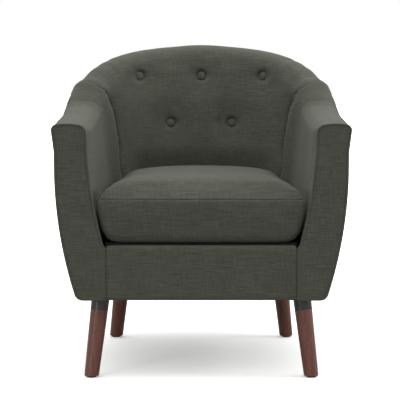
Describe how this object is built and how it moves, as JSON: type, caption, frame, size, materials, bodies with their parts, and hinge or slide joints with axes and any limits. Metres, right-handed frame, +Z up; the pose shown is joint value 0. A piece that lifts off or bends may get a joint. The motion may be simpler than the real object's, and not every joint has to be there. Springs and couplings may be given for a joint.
{
  "type": "barrel accent chair",
  "caption": "Upholstered barrel accent chair: low padded arms sweep up into a curved button-tufted back, with a loose boxed seat cushion and splayed tapered wood legs with metal collars.",
  "frame": {"origin": "on the floor, under the middle of the chair's overall width and depth", "axes": "+X to the right as seen from the front, +Y from the open front to the back, +Z up"},
  "size_m": [0.695, 0.7041, 0.77],
  "materials": {
    "upholstery": "matt woven linen look, dark olive grey",
    "foam": "open-cell foam, matt",
    "frame_wood": "bare sawn timber",
    "leg_wood": "reddish brown stain, satin lacquer",
    "board": "brown fibreboard, matt",
    "webbing": "woven elastic strap, matt",
    "cloth_black": "thin non-woven cloth, matt",
    "ferrule_metal": "dark grey semi-gloss",
    "spring_steel": "oiled drawn wire",
    "fastener_steel": "zinc plated",
    "dark_plastic": "matt",
    "twine": "waxed twine"
  },
  "bodies": {
    "chair": {"outside_arm_cover_left": "upholstery", "outside_arm_cover_right": "upholstery", "outside_back_cover": "upholstery", "inside_arm_cover_left": "upholstery", "inside_arm_cover_right": "upholstery", "arm_foam_left": "foam", "arm_foam_right": "foam", "arm_board_left": "board", "arm_board_right": "board", "back_buttons": "upholstery", "inside_back_cover": "upholstery", "back_foam": "foam", "button_twines": "twine", "button_toggles": "dark_plastic", "back_straps": "webbing", "arm_rail_left": "frame_wood", "arm_rail_right": "frame_wood", "top_back_rail": "frame_wood", "base_side_rail_left": "frame_wood", "base_side_rail_right": "frame_wood", "base_back_rail": "frame_wood", "arm_post_left": "frame_wood", "arm_post_right": "frame_wood", "arm_rib_left": "frame_wood", "arm_rib_right": "frame_wood", "corner_rib_left": "frame_wood", "corner_rib_right": "frame_wood", "back_rib_left": "frame_wood", "back_rib_right": "frame_wood", "arm_facing_left": "upholstery", "arm_facing_right": "upholstery", "facing_welt_left": "upholstery", "facing_welt_right": "upholstery", "front_border": "upholstery", "front_rail": "frame_wood", "seat_back_rail": "frame_wood", "corner_blocks": "frame_wood", "seat_springs": "spring_steel", "spring_clips": "dark_plastic", "deck_pad": "foam", "deck_cloth": "cloth_black", "dust_cover": "cloth_black", "front_leg_left": "leg_wood", "front_leg_left_ferrule": "ferrule_metal", "front_leg_right": "leg_wood", "front_leg_right_ferrule": "ferrule_metal", "rear_leg_left": "leg_wood", "rear_leg_left_ferrule": "ferrule_metal", "rear_leg_right": "leg_wood", "rear_leg_right_ferrule": "ferrule_metal", "leg_bolts": "fastener_steel", "leg_nuts": "fastener_steel", "leg_glides": "dark_plastic"},
    "seat_cushion": {"seat_cushion_cover": "upholstery", "seat_cushion_core": "foam", "cushion_zip": "cloth_black"},
    "slider": {"zip_slider": "fastener_steel"}
  },
  "joints": [
    {"name": "seat_lift", "type": "slide", "parent": "chair", "child": "seat_cushion", "axis": [0, 0, 1], "range_m": [0, 0.47]},
    {"name": "zip_run", "type": "hinge", "parent": "seat_cushion", "child": "slider", "pos_m": [0, -0.08544, 0.373], "axis": [0, 0, 1], "range_deg": [0, 40.4]}
  ]
}
